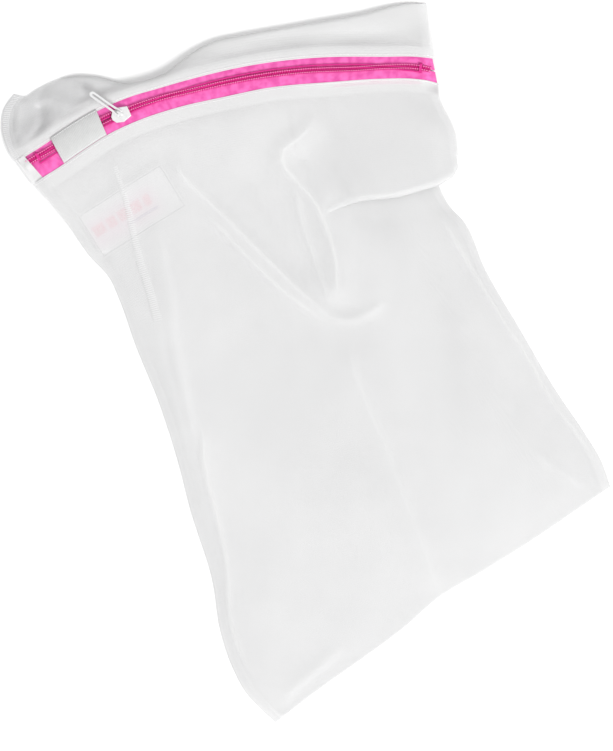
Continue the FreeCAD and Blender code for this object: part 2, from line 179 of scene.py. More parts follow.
def run_along(points):
    """Length of a line of points up to each of them."""
    steps = np.linalg.norm(np.diff(points, axis=0), axis=1)
    return np.concatenate([[0], np.cumsum(steps)])


def summed(rate, m):
    """Running integral of a rate over m."""
    return np.concatenate([[0], np.cumsum((rate[1:] + rate[:-1]) / 2 * np.diff(m))])


def waves(x, y, length, seed, stretch=1.0):
    """Smooth random waves between about -1 and 1, longer along the bag by stretch."""
    rng = np.random.default_rng(seed)
    total = np.zeros(np.broadcast(x, y).shape)
    for _ in range(14):
        heading = rng.uniform(0, 2 * math.pi)
        rate = 2 * math.pi / (length * rng.uniform(0.7, 1.6))
        total += np.sin(rate * (x * math.cos(heading) + y * math.sin(heading) / stretch)
                        + rng.uniform(0, 2 * math.pi))
    return total / 14 ** 0.5 / 1.4


def ridge(xy, points, height, left_width, right_width, fade=0.18):
    """
    A crease along a line: a crest with its own fall on the left and on the right of the
    way it runs, fading out at both ends.
    """
    line = spline(points, np.linspace(0, 1, 25))
    best = np.full(xy.shape[:-1], 1e9)
    signed = np.zeros_like(best)
    along = np.zeros_like(best)
    for k in range(len(line) - 1):
        a, b = line[k], line[k + 1]
        d = b - a
        t = np.clip(((xy - a) @ d) / (d @ d), 0, 1)
        off = xy - (a + t[..., None] * d)
        dist = np.hypot(off[..., 0], off[..., 1])
        near = dist < best
        cross = d[0] * off[..., 1] - d[1] * off[..., 0]
        best = np.where(near, dist, best)
        signed = np.where(near, np.where(cross >= 0, -dist, dist), signed)
        along = np.where(near, (k + t) / (len(line) - 1), along)
    width = np.where(signed < 0, left_width, right_width)
    ends = smooth(along / fade) * smooth((1 - along) / fade)
    return height * ends * np.exp(-(signed / width) ** 2)


# Crest lines of the front, as they run over the cloth
RIGHT_RIDGE = [(60, 150), (51, 141), (38, 135), (23, 131), (19, 124), (22, 112), (30, 86), (30, 64),
               (28, 48), (22, 30), (13, 12)]
LEFT_RIDGE = [(-52, 166), (-51, 145), (-44, 126), (-34, 104), (-24, 79), (-14, 55), (-3, 30), (6, 12),
              (14, 3)]
OUTER_LEFT_RIDGE = [(-49, 118), (-39, 95), (-29, 69), (-18, 43), (-6, 22), (4, 8)]
VALLEY_LINE = [(22, 111), (18, 92), (15, 75), (14, 56), (12, 33), (13, 12)]
SMILE = [(4, 13), (14, 4), (25, 0), (37, 1), (53, 5)]
LONG_CREASE = [(12, -4), (9, -28), (7, -55), (8, -92), (6, -124), (5, -159), (2, -206)]
LEFT_STRIP = [(-92, 174), (-94, 146), (-98, 122), (-102, 98), (-104, 76), (-107, 52)]
LEFT_FOLD = [(-82, 120), (-87, 90), (-92, 66), (-101, 40), (-106, 12), (-112, -14), (-118, -44)]
LEFT_EDGE_STRIP = [(-108, -14), (-108, -30), (-116, -54), (-122, -92), (-130, -130), (-142, -163),
                   (-145, -188), (-140, -214)]
RIGHT_STRIP = [(101, 61), (108, 44), (112, 20), (116, -8), (121, -40), (127, -74), (131, -112),
               (140, -143), (142, -160), (137, -176)]
LOW_LEFT = [(-72, -212), (-101, -221), (-117, -226), (-132, -236)]
LOW_RIGHT = [(102, -131), (109, -145), (116, -157), (130, -177)]
LOBE_CREST = [(129, 112), (126, 92), (118, 72)]
CREASES = [
    # line, height, width on its left, width on its right, fade at the ends
    (RIGHT_RIDGE, 2.3, 11.0, 9.0, 0.1),
    (LEFT_RIDGE, 1.6, 6.0, 9.0, 0.12),
    (OUTER_LEFT_RIDGE, 0.9, 8.0, 3.0, 0.2),
    (VALLEY_LINE, 0.5, 3.0, 3.0, 0.2),
    (SMILE, 0.8, 5.0, 4.0, 0.3),
    (LONG_CREASE, 0.6, 4.0, 14.0, 0.1),
    (LEFT_FOLD, 1.0, 4.0, 12.0, 0.15),
    (LEFT_STRIP, 0.45, 3.0, 3.0, 0.15),
    (LEFT_EDGE_STRIP, 0.7, 4.0, 3.0, 0.15),
    (RIGHT_STRIP, 0.35, 3.0, 4.0, 0.15),
    (LOW_LEFT, 0.7, 4.0, 7.0, 0.3),
    (LOW_RIGHT, 0.6, 4.0, 5.0, 0.3),
    (LOBE_CREST, 0.6, 6.0, 7.0, 0.3),
]
CRESTS = [
    # line, strength, width of the drawn-together cloth along it; the strength also lightens the net
    # there, partly as a painted highlight
    (RIGHT_RIDGE, 0.34, 1.3), (LEFT_RIDGE, 0.26, 1.5), (OUTER_LEFT_RIDGE, 0.22, 1.2),
    (VALLEY_LINE, 0.18, 1.0), (SMILE, 0.15, 2.2), (LONG_CREASE, 0.14, 1.6), (LEFT_FOLD, 0.14, 4.0),
    (LEFT_STRIP, 0.1, 3.0), (LEFT_EDGE_STRIP, 0.26, 1.8), (RIGHT_STRIP, 0.26, 1.5),
    (LOW_LEFT, 0.12, 2.6), (LOW_RIGHT, 0.12, 2.4), (LOBE_CREST, 0.12, 5.0),
]
HOLLOWS = [
    ([(-16, 140), (-4, 116), (2, 90), (2, 66), (6, 30)], 2.2, 14.0, 9.0, 0.25),
    ([(-140, 124), (-130, 114), (-116, 110)], 1.5, 3.0, 5.0, 0.3),
    ([(38, 90), (49, 79), (66, 71)], 1.6, 8.0, 8.0, 0.35),
    ([(-100, 60), (-110, 30), (-114, 0), (-122, -50)], 0.6, 3.0, 3.0, 0.3),
]


def creases(xy):
    """Everything that stands up or sinks in on the lower front, above its plain puffed shape."""
    x, y = xy[..., 0], xy[..., 1]
    total = sum(ridge(xy, *crease) for crease in CREASES)
    total -= sum(ridge(xy, *hollow) for hollow in HOLLOWS)
    total += sum(0.45 * strength * ridge(xy, line, 1.0, width, width)
                 for line, strength, width in CRESTS)
    total += 0.22 * waves(x, y, 75, 3, 2.2) + 0.14 * waves(x, y, 24, 5, 1.6)
    return total


def crest_density_and_highlight(xy, lines):
    """How tightly the net is drawn together along its crests, 0 to 1; the material also lightens the net
    by it, partly as a painted highlight.
    """
    amount = sum(strength * ridge(xy, line, 1.0, width, width) for line, strength, width in lines)
    return np.clip(amount, 0, 1)


# ---- The bag's middle surface ------------------------------------------------
# Rows run across the bag and columns run from the zip to the bottom, or to the top.
# The front lies on one side of this surface and the back on the other, half the
# bag's thickness away, so both go round each fold together.

def lower_plan(s, tau):
    """Plan of the lower body, blended between its four edges."""
    s = np.asarray(s, float)[..., None]
    tau_column = np.asarray(tau, float)[..., None]
    left = spline([tuple(hem_point(0.0, -1)[1])] + LEFT_EDGE[1:], tau)
    right = spline([tuple(hem_point(1.0, -1)[1])] + RIGHT_EDGE[1:], tau)
    head = hem_point(s[..., 0], -1)[1]
    foot = spline(BOTTOM_FOLD, s[..., 0])
    corners = ((1 - s) * (1 - tau_column) * hem_point(0.0, -1)[1]
               + s * (1 - tau_column) * hem_point(1.0, -1)[1]
               + (1 - s) * tau_column * np.array(BOTTOM_FOLD[0], float)
               + s * tau_column * np.array(BOTTOM_FOLD[-1], float))
    return (1 - s) * left + s * right + (1 - tau_column) * head + tau_column * foot - corners


def edge_fall(s):
    """0 at the side seams, 1 well inside."""
    left = s * BAG_WIDTH
    right = (1 - s) * BAG_WIDTH
    return (1 - np.exp(-left / LEFT_EDGE_FALL)) * (1 - np.exp(-right / RIGHT_EDGE_FALL))


def lower_column(s):
    """
    One column of the lower body: plan points, middle height, half thickness, length run
    from the hem, and how far the cloth is stacked in layers there.
    """
    tau = np.linspace(0, 1, 301)
    base = lower_plan(np.full_like(tau, s), tau)
    run = run_along(base)
    folded = smooth((s - FOLD_START) / (1 - FOLD_START) * 1.15)
    shift = LOBE_OVERHANG * folded * smooth(run / 50)
    lip_y = np.interp(base[:, 0] + shift, [p[0] for p in LIP], [p[1] for p in LIP])
    over = base[:, 1] - lip_y
    below = max(int(np.argmax(over < 0)), 1)
    part = over[below - 1] / (over[below - 1] - over[below])
    lip = run[below - 1] + part * (run[below] - run[below - 1])
    depth = FOLD_DEPTH * folded
    total = run[-1] + 2 * depth
    m = np.linspace(0, total, LOWER_ROWS)
    turn = 5.0
    first = smooth((m - lip + turn) / (2 * turn))
    second = smooth((m - lip - depth + turn) / (2 * turn))
    rate = 1 - 2 * (first - second)
    distance = summed(rate, m)
    distance *= run[-1] / distance[-1]
    plan = lower_plan(np.full_like(m, s), np.interp(distance, run, tau))
    crossing = smooth((m - lip) / max(depth, 1.0))
    plan[:, 0] += LOBE_OVERHANG * folded * smooth(distance / 50) * (1 - crossing)
    # plain puffed shape
    foot = 1 - np.exp(-(total - m) / FOOT_FALL)
    head = tape_height(hem_point(s, -1)[0]) + HEM_ABOVE_TAPE
    puff = BODY_PUFF * edge_fall(s) * foot + 0.5
    front = puff + (head - puff) * np.exp(-(np.maximum(distance - 7, 0) / 42) ** 2)
    half = np.maximum((front - FLOOR_GAP) / 2, 0.12)
    middle = half + FLOOR_GAP
    # stack of layers where the cloth doubles under itself
    stacked = smooth((s - FOLD_START) / 0.16) * smooth(m / 10)
    stacked = stacked * (1 - smooth((m - lip - 2 * depth) / 38))
    top = TOP_LAYER + LOBE_RISE * smooth(distance / max(lip, 1)) * edge_fall(s)
    pile = top + (MIDDLE_LAYER - top) * first + (LOWEST_LAYER - MIDDLE_LAYER) * second
    half_pile = 0.3 + 0.7 * edge_fall(s)
    middle = middle + (pile - middle) * stacked
    half = half + (half_pile - half) * stacked
    return plan, middle, half, m, stacked


def upper_column(s):
    """One column above the zip, from its hem to the top fold, curled under where it is short."""
    hem_angle, hem = hem_point(s, 1)
    crest = spline(TOP_EDGE, s)
    seen = np.linalg.norm(crest - hem)
    length = max(UPPER_LENGTH, seen)
    m = np.linspace(0, length, UPPER_ROWS)
    turn = 3.5
    under = smooth((m - seen + turn) / (2 * turn)) * smooth((length - seen) / 8)
    rate = 1 - 2 * under
    distance = summed(rate, m)
    distance *= seen / distance.max()
    tau = distance / seen
    plan = hem + (crest - hem) * tau[:, None]
    left = spline(TOP_LEFT_EDGE, tau)
    first, last = np.array(TOP_LEFT_EDGE[0]), np.array(TOP_LEFT_EDGE[-1])
    straight = first + (last - first) * tau[:, None]
    plan = plan + (left - straight) * (1 - s) ** 8
    head = tape_height(hem_angle) + HEM_ABOVE_TAPE
    rim = 1 - np.exp(-np.maximum(seen - distance, 0) / 9.0)
    fuller = smooth((s - 0.22) / 0.25)
    puff = (0.6 + 2.2 * rim + fuller * (2.4 + 2.4 * rim)) * edge_fall(s) + 0.6
    front = puff + (head - puff) * np.exp(-(np.maximum(distance - 6, 0) / 15) ** 2)
    half = np.maximum((front - FLOOR_GAP) / 2, 0.12)
    middle = half + FLOOR_GAP
    lifted = smooth((length - seen) / 12) * smooth((distance - 4) / 15)
    middle = middle + (LIFTED_LEVEL - middle) * lifted * edge_fall(s) * 0.8
    half = half + (1.3 - half) * lifted * 0.8
    middle = middle + (UNDER_LEVEL - middle) * under
    half = half + (0.5 - half) * under
    return plan, middle, half, m


def stack(columns):
    """Columns side by side, as one grid."""
    return np.stack(columns, axis=1)


def surface(plan, height):
    """Grid of points from their plan and their height."""
    return np.concatenate([plan, height[..., None]], axis=-1)


def normals(grid):
    """Unit normals of a grid of points, upwards where the cloth lies face up."""
    along = np.gradient(grid, axis=0)
    across = np.gradient(grid, axis=1)
    n = np.cross(along, across)
    n /= np.maximum(np.linalg.norm(n, axis=-1, keepdims=True), 1e-9)
    return n


def build_bag():
    """Front and back of the whole bag as grids of points in millimetres."""
    across = np.linspace(0, 1, COLUMNS)
    lower = [lower_column(s) for s in across]
    upper = [upper_column(s) for s in across]
    bag = {"s": across}
    for name, columns, flip, hem_width in (("lower", lower, 1, 9.5), ("upper", upper, -1, 7.0)):
        plan = stack([c[0] for c in columns])
        middle = stack([c[1] for c in columns])
        half = stack([c[2] for c in columns])
        run = stack([c[3] for c in columns])
        grid = surface(plan, middle)
        n = normals(grid) * flip
        bump = creases(plan)
        if name == "lower":
            stacked = stack([c[4] for c in columns])
            near_hem = smooth((run - 6) / 14)
            near_foot = smooth((run[-1:] - run) / 12)
            bump = bump * near_hem * near_foot * (1 - 0.8 * stacked)
        else:
            bump = upper_creases(plan) * smooth((run - 5) / 8)
        bump = bump * edge_fall(across)[None, :]
        # crest attribute: denser net along crests with a painted highlight there, and lighter along the
        # doubled hem
        crest = np.maximum(crest_density_and_highlight(plan, CRESTS if name == "lower" else UPPER_CRESTS),
                           HEM_LIGHTNESS * (1 - smooth((run - hem_width + 0.5) / 1.5)))
        if name == "upper":
            past_hem = smooth((run - 7) / 6)
            # painted shade on the upper panel's left end; the net is also more open there
            crest = crest - OPEN_NET_PAINTED_SHADE * past_hem * smooth((-55 - plan[..., 0]) / 35)
            # painted light on the upper panel's right end; the net is also denser there
            crest = crest + DENSE_NET_PAINTED_LIGHT * past_hem * smooth((plan[..., 0] + 30) / 50)
        # creases only show where the front faces up
        raised = np.stack([0 * bump, 0 * bump, bump], -1) * (n[..., 2:] > 0.2)
        bag[name] = {
            "front": grid + n * half[..., None] + raised,
            "back": grid - n * half[..., None],
            "middle": grid,
            "normal": n,
            "run": run,
            "crest": crest,
        }
    for part in ("lower", "upper"):
        for side in ("front", "back"):
            bag[part][side][..., 2] = np.maximum(bag[part][side][..., 2], 0.15)
    return bag


UPPER_CREASES = [
    ([(-136, 241), (-143, 226), (-150, 212)], 2.2, 5.0, 4.0, 0.2),
    ([(-118, 240), (-112, 226), (-108, 214)], 1.6, 6.0, 9.0, 0.3),
    ([(-124, 234), (-111, 224), (-99, 218), (-85, 215)], 1.1, 6.0, 4.0, 0.2),
    ([(-30, 210), (-8, 215), (14, 216), (40, 210)], 0.8, 4.0, 6.0, 0.25),
    ([(60, 206), (92, 198), (124, 188), (150, 182)], 0.5, 6.0, 8.0, 0.25),
]
UPPER_HOLLOWS = [
    ([(-151, 205), (-141, 207), (-131, 214), (-125, 232)], 3.2, 3.0, 5.0, 0.12),
    ([(-118, 209), (-104, 211), (-86, 212), (-60, 207)], 2.0, 3.5, 3.0, 0.15),
    ([(-8, 206), (24, 204), (56, 198)], 0.4, 4.0, 5.0, 0.3),
]
# crest lines of the upper panel, drawn together and lighter as a painted highlight: line, strength,
# width
UPPER_CRESTS = [
    ([(-136, 241), (-143, 226), (-150, 212)], 0.5, 3.0),
    ([(-124, 234), (-111, 224), (-99, 218), (-85, 215)], 0.2, 1.5),
]


def upper_creases(xy):
    """Folds of the short panel above the zip."""
    x, y = xy[..., 0], xy[..., 1]
    total = sum(ridge(xy, *crease) for crease in UPPER_CREASES)
    total -= sum(ridge(xy, *hollow) for hollow in UPPER_HOLLOWS)
    return total + 0.35 * waves(x, y, 40, 11, 0.8)


# ---- Mesh making ---------------------------------------------------------------

def new_mesh(name, vertices, faces, uvs=None, crest=None):
    """Object from vertices in millimetres, with optional UVs per vertex in metres."""
    mesh = bpy.data.meshes.new(name)
    mesh.from_pydata((np.asarray(vertices) * MM).tolist(), [], faces)
    if uvs is not None:
        layer = mesh.uv_layers.new(name="UVMap")
        index = np.zeros(len(mesh.loops), dtype=np.int32)
        mesh.loops.foreach_get("vertex_index", index)
        layer.data.foreach_set("uv", np.asarray(uvs, np.float32)[index].ravel())
    if crest is not None:
        mesh.attributes.new("crest", "FLOAT", "POINT").data.foreach_set("value", crest)
    mesh.polygons.foreach_set("use_smooth", [True] * len(mesh.polygons))
    mesh.update()
    obj = bpy.data.objects.new(name, mesh)
    bpy.context.scene.collection.objects.link(obj)
    return obj


def grid_faces(rows, columns, start=0, flip=False):
    """Quads between the points of a grid."""
    faces = []
    for r in range(rows - 1):
        for c in range(columns - 1):
            a = start + r * columns + c
            quad = (a, a + columns, a + columns + 1, a + 1)
            faces.append(quad[::-1] if flip else quad)
    return faces


def sheet_object(name, grid, uvs, flip=False, crest=None):
    """Single layer of net."""
    rows, columns = grid.shape[:2]
    crest = np.zeros(rows * columns) if crest is None else crest.ravel()
    return new_mesh(name, grid.reshape(-1, 3), grid_faces(rows, columns, flip=flip),
                    uvs.reshape(-1, 2), crest)


def slab_object(name, grid, thickness, uvs):
    """Closed strip: a grid of points for its top, and its thickness below."""
    rows, columns = grid.shape[:2]
    n = normals(grid)
    n *= np.sign(n[..., 2:].mean() or 1)
    low = grid - n * thickness
    count = rows * columns
    vertices = np.concatenate([grid.reshape(-1, 3), low.reshape(-1, 3)])
    faces = grid_faces(rows, columns) + grid_faces(rows, columns, count, flip=True)
    rim = ([r * columns for r in range(rows)]
           + [(rows - 1) * columns + c for c in range(1, columns)]
           + [r * columns + columns - 1 for r in range(rows - 2, -1, -1)]
           + list(range(columns - 2, 0, -1)))
    for a, b in zip(rim, rim[1:] + rim[:1]):
        faces.append((b, a, a + count, b + count))
    obj = new_mesh(name, vertices, faces, np.concatenate([uvs.reshape(-1, 2)] * 2))
    fix_normals(obj)
    return obj


def fix_normals(obj):
    """Turn every face of a closed mesh outwards."""
    work = bmesh.new()
    work.from_mesh(obj.data)
    bmesh.ops.recalc_face_normals(work, faces=work.faces)
    work.to_mesh(obj.data)
    work.free()


def tube(path, radius, sides=6):
    """Vertices and faces of a round tube along a path of points in millimetres."""
    path = np.asarray(path, float)
    ahead = np.gradient(path, axis=0)
    ahead /= np.maximum(np.linalg.norm(ahead, axis=1, keepdims=True), 1e-9)
    up = np.array([0.0, 0.0, 1.0])
    side = np.cross(ahead, up)
    weak = np.linalg.norm(side, axis=1) < 0.15
    side[weak] = np.cross(ahead[weak], np.array([0.0, 1.0, 0.0]))
    side /= np.linalg.norm(side, axis=1, keepdims=True)
    lift = np.cross(side, ahead)
    turn = np.linspace(0, 2 * math.pi, sides, endpoint=False)
    ring = (side[:, None] * np.cos(turn)[None, :, None] + lift[:, None] * np.sin(turn)[None, :, None])
    radii = np.broadcast_to(np.asarray(radius, float), (len(path),))
    vertices = (path[:, None] + ring * radii[:, None, None]).reshape(-1, 3)
    faces = []
    for k in range(len(path) - 1):
        for j in range(sides):
            a, b = k * sides + j, k * sides + (j + 1) % sides
            faces.append((a, b, b + sides, a + sides))
    faces.append(tuple(range(sides))[::-1])
    faces.append(tuple((len(path) - 1) * sides + j for j in range(sides)))
    return vertices, faces


def join_parts(parts):
    """Vertices and faces of several meshes as one."""
    vertices, faces, start = [], [], 0
    for v, f in parts:
        vertices.append(v)
        faces += [tuple(i + start for i in face) for face in f]
        start += len(v)
    return np.concatenate(vertices), faces


def thread_object(name, paths, radius, sides=6):
    """One object with a round thread along each path."""
    vertices, faces = join_parts([tube(p, radius, sides) for p in paths])
    obj = new_mesh(name, vertices, faces)
    fix_normals(obj)
    return obj


def stitches(line, normal, pitch, share=0.72, rise=0.22):
    """Short arched threads along a line of points: the paths of a row of stitches."""
    run = run_along(line)
    count = int(run[-1] // pitch)
    paths = []
    for k in range(count):
        t = np.linspace(0, 1, 6)
        where = (k + 0.5 + (t - 0.5) * share) * pitch
        points = np.stack([np.interp(where, run, line[:, i]) for i in range(3)], -1)
        lift = np.stack([np.interp(where, run, normal[:, i]) for i in range(3)], -1)
        paths.append(points + lift * (rise * np.sin(math.pi * t) - 0.08)[:, None])
    return paths


# ---- Materials -------------------------------------------------------------------

class Nodes:
    """Small helper that adds and links shader nodes in one material."""

    def __init__(self, name):
        self.material = bpy.data.materials.new(name)
        self.material.use_nodes = True
        self.tree = self.material.node_tree
        self.shader = self.tree.nodes["Principled BSDF"]

    def add(self, kind, **settings):
        node = self.tree.nodes.new(kind)
        for key, value in settings.items():
            setattr(node, key, value)
        return node

    def link(self, source, target):
        self.tree.links.new(source, target)

    def feed(self, name, source):
        """Drive one of the shader's inputs with a node's output."""
        self.link(source, self.shader.inputs[name])

    def set(self, values):
        """Give the shader's inputs fixed values by name."""
        for name, value in values.items():
            self.shader.inputs[name].default_value = value

    def maths(self, operation, a, b=None, c=None, clamp=False):
        node = self.add("ShaderNodeMath", operation=operation, use_clamp=clamp)
        for socket, value in zip(node.inputs, (a, b, c)):
            if value is None:
                continue
            if isinstance(value, (int, float)):
                socket.default_value = value
            else:
                self.link(value, socket)
        return node.outputs[0]

    def ramp(self, value, low, high, to_low=0.0, to_high=1.0):
        node = self.add("ShaderNodeMapRange", interpolation_type="SMOOTHSTEP")
        self.link(value, node.inputs["Value"])
        node.inputs["From Min"].default_value = low
        node.inputs["From Max"].default_value = high
        node.inputs["To Min"].default_value = to_low
        node.inputs["To Max"].default_value = to_high
        return node.outputs["Result"]

    def mix(self, factor, a, b):
        node = self.add("ShaderNodeMix", data_type="RGBA")
        for name, value in (("Factor", factor), ("A", a), ("B", b)):
            socket = node.inputs[name]
            if isinstance(value, (tuple, list)):
                socket.default_value = (*value, 1.0)
            elif isinstance(value, (int, float)):
                socket.default_value = value
            else:
                self.link(value, socket)
        return node.outputs["Result"]

    def uv(self):
        node = self.add("ShaderNodeTexCoord")
        split = self.add("ShaderNodeSeparateXYZ")
        self.link(node.outputs["UV"], split.inputs[0])
        return split.outputs["X"], split.outputs["Y"], node.outputs["UV"]

    def place(self):
        node = self.add("ShaderNodeTexCoord")
        return node.outputs["Object"]

    def noise(self, coordinates, scale, detail=2.0):
        node = self.add("ShaderNodeTexNoise")
        node.inputs["Scale"].default_value = scale
        node.inputs["Detail"].default_value = detail
        self.link(coordinates, node.inputs["Vector"])
        return node.outputs["Fac"]

    def bump(self, height, distance, strength=1.0):
        node = self.add("ShaderNodeBump")
        node.inputs["Distance"].default_value = distance
        node.inputs["Strength"].default_value = strength
        self.link(height, node.inputs["Height"])
        self.feed("Normal", node.outputs["Normal"])


def wave(nodes, coordinate, pitch):
    """cos of a coordinate in metres, with one crest for each pitch in millimetres."""
    return nodes.maths("COSINE", nodes.maths("MULTIPLY", coordinate, 2 * math.pi / (pitch * MM)))


def unit_wave(nodes, coordinate, pitch):
    """The same wave, between 0 and 1."""
    return nodes.maths("MULTIPLY_ADD", wave(nodes, coordinate, pitch), 0.5, 0.5)


def net_material(name, light, dark, cover, holes):
    """
    Fine warp-knitted net: staggered holes between ribs, see-through in the holes, and
    denser and lighter where a crest draws it together; the lighter colour along crests is partly a
    painted highlight, and the same crest attribute also carries painted shade and painted light on the
    upper panel's ends.
    """
    nodes = Nodes(name)
    u, v, uv = nodes.uv()
    lattice = nodes.maths("MULTIPLY", wave(nodes, u, 0.62), wave(nodes, v, 0.84))
    hole = nodes.ramp(lattice, 0.0, 0.6)
    rib = unit_wave(nodes, v, 1.68)
    cloud = nodes.noise(uv, 16.0, 4.0)
    crest = nodes.add("ShaderNodeAttribute", attribute_name="crest").outputs["Fac"]
    open_part = nodes.maths("MULTIPLY_ADD", crest, -0.6, 1.0)
    alpha = nodes.maths("MULTIPLY_ADD", nodes.maths("MULTIPLY", hole, open_part), -holes, cover)
    nodes.feed("Alpha", alpha)
    shade = nodes.maths("MULTIPLY_ADD", rib, 0.3, nodes.maths("MULTIPLY_ADD", cloud, 0.6, 0.15))
    # the crest attribute lightens the colour: partly a painted highlight along crests; painted shade
    # where it is negative
    shade = nodes.maths("ADD", shade, crest, clamp=True)
    nodes.feed("Base Color", nodes.mix(shade, dark, light))
    nodes.set({"Roughness": 0.7, "Sheen Weight": 0.35, "Sheen Roughness": 0.35})
    nodes.bump(nodes.maths("MULTIPLY_ADD", rib, 0.5, nodes.maths("MULTIPLY", hole, -1.0)), 0.0001, 0.5)
    return nodes.material


def tape_material(name):
    """Woven polyester zip tape: herringbone lines along it and slight colour clouds."""
    nodes = Nodes(name)
    u, v, uv = nodes.uv()
    weft = wave(nodes, u, 0.9)
    slant = nodes.maths("ADD", v, nodes.maths("MULTIPLY", weft, 0.00012))
    warp = wave(nodes, slant, 0.75)
    cloud = nodes.noise(uv, 180.0, 5.0)
    thread = nodes.maths("MULTIPLY_ADD", nodes.maths("MULTIPLY", weft, warp), 0.5, 0.5)
    patches = nodes.ramp(cloud, 0.34, 0.66)
    shade = nodes.maths("MULTIPLY_ADD", thread, 0.4, nodes.maths("MULTIPLY", patches, 0.6), clamp=True)
    colour = nodes.mix(shade, (0.68, 0.045, 0.31), (0.94, 0.17, 0.54))
    nodes.feed("Base Color", colour)
    nodes.set({"Roughness": 0.6, "Sheen Weight": 0.35})
    nodes.bump(thread, 0.00015, 0.7)
    return nodes.material


def nylon_material(name, dark, light):
    """Nylon monofilament, half matt."""
    nodes = Nodes(name)
    cloud = nodes.noise(nodes.place(), 900.0, 2.0)
    nodes.feed("Base Color", nodes.mix(cloud, dark, light))
    nodes.set({"Roughness": 0.5, "Specular IOR Level": 0.2})
    nodes.bump(cloud, 0.00004, 0.4)
    return nodes.material


def thread_material(name, dark, light):
    """Spun thread with a fine twist."""
    nodes = Nodes(name)
    twist = nodes.noise(nodes.place(), 2600.0, 1.0)
    nodes.feed("Base Color", nodes.mix(twist, dark, light))
    nodes.set({"Roughness": 0.65, "Sheen Weight": 0.3})
    nodes.bump(twist, 0.00008, 0.6)
    return nodes.material


def elastic_material(name):
    """Ribbed elastic: ribs across the band, with fine threads on them."""
    nodes = Nodes(name)
    u, v, uv = nodes.uv()
    rib = unit_wave(nodes, u, 1.15)
    fine = unit_wave(nodes, v, 0.5)
    cloud = nodes.noise(uv, 150.0, 3.0)
    shade = nodes.maths("MULTIPLY_ADD", rib, 0.6, nodes.maths("MULTIPLY", cloud, 0.4), clamp=True)
    nodes.feed("Base Color", nodes.mix(shade, (0.53, 0.535, 0.535), (0.70, 0.70, 0.695)))
    nodes.set({"Roughness": 0.7, "Sheen Weight": 0.3})
    nodes.bump(nodes.maths("MULTIPLY_ADD", fine, 0.25, rib), 0.0003, 0.8)
    return nodes.material


def plastic_material(name):
    """Moulded white plastic, glossy, with faint flow marks."""
    nodes = Nodes(name)
    flow = nodes.noise(nodes.place(), 300.0, 3.0)
    nodes.feed("Base Color", nodes.mix(flow, (0.67, 0.67, 0.675), (0.76, 0.76, 0.76)))
    nodes.feed("Roughness", nodes.ramp(flow, 0.3, 0.7, 0.22, 0.34))
    nodes.set({"Subsurface Weight": 0.1, "Subsurface Radius": (0.002, 0.002, 0.002), "Coat Weight": 0.2})
    nodes.bump(flow, 0.0001, 0.25)
    return nodes.material


def label_material(name, length, width):
    """Satin label tape: a thin printed frame and a few soft bars in place of words."""
    nodes = Nodes(name)
    u, v, uv = nodes.uv()
    weave = unit_wave(nodes, v, 0.6)
    cloud = nodes.noise(uv, 120.0, 2.0)
    colour = nodes.mix(nodes.maths("MULTIPLY_ADD", weave, 0.4, nodes.maths("MULTIPLY", cloud, 0.5)),
                       (0.71, 0.70, 0.71), (0.78, 0.77, 0.78))

    def bar(x, y, half_length, half_width, blur):
        """1 inside a bar round (x, y) mm of the label, falling to 0 over blur mm."""
        dx = nodes.maths("ABSOLUTE", nodes.maths("SUBTRACT", u, x * MM))
        dy = nodes.maths("ABSOLUTE", nodes.maths("SUBTRACT", v, y * MM))
        along = nodes.ramp(dx, (half_length - blur) * MM, (half_length + blur) * MM, 1.0, 0.0)
        across = nodes.ramp(dy, (half_width - blur) * MM, (half_width + blur) * MM, 1.0, 0.0)
        return nodes.maths("MULTIPLY", along, across)

    middle_x, middle_y = length / 2, width / 2
    outer = bar(middle_x, middle_y, length / 2 - 1.0, width / 2 - 1.0, 0.15)
    inner = bar(middle_x, middle_y, length / 2 - 2.1, width / 2 - 2.1, 0.15)
    line = nodes.maths("SUBTRACT", outer, inner, clamp=True)
    colour = nodes.mix(nodes.maths("MULTIPLY", line, 0.9), colour, (0.10, 0.10, 0.11))
    glow = nodes.maths("MULTIPLY", bar(middle_x - 7, middle_y - 1, 27.0, 10.0, 6.0), 0.5)
    colour = nodes.mix(glow, colour, (0.80, 0.36, 0.58))
    for x, half_length in ((9.0, 4.5), (19.5, 3.5), (29.5, 4.0), (40.0, 4.0), (49.0, 2.5)):
        mark = nodes.maths("MULTIPLY", bar(x, middle_y + 1.0, half_length, 4.0, 1.2), 0.9)
        colour = nodes.mix(mark, colour, (0.80, 0.04, 0.22))
    small = nodes.maths("MULTIPLY", bar(middle_x + 6, middle_y - 7.0, 12.0, 1.1, 0.4), 0.8)
    colour = nodes.mix(small, colour, (0.28, 0.10, 0.34))
    nodes.feed("Base Color", colour)
    nodes.set({"Roughness": 0.45, "Sheen Weight": 0.2})
    nodes.bump(weave, 0.0001, 0.4)
    return nodes.material


def floor_material():
    """Plain white floor."""
    nodes = Nodes("floor")
    cloud = nodes.noise(nodes.place(), 3.0, 2.0)
    nodes.feed("Base Color", nodes.mix(cloud, (0.93, 0.93, 0.93), (0.94, 0.94, 0.94)))
    nodes.set({"Roughness": 0.6})
    return nodes.material


# ---- Pieces -----------------------------------------------------------------------

def finish_piece(obj, material, replaces=()):
    """Material, body and replaced CAD nodes of a piece: every made piece is on the bag."""
    obj.data.materials.clear()
    obj.data.materials.append(material)
    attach(obj, "bag")
    if replaces:
        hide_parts(*replaces)
    return obj


def cloth_uv(bag, part, sign):
    """Place of each point on the flat cloth, in metres from the zip."""
    run = bag[part]["run"]
    across = np.broadcast_to(bag["s"][None, :], run.shape) * BAG_WIDTH
    return np.stack([across, sign * run], -1) * MM


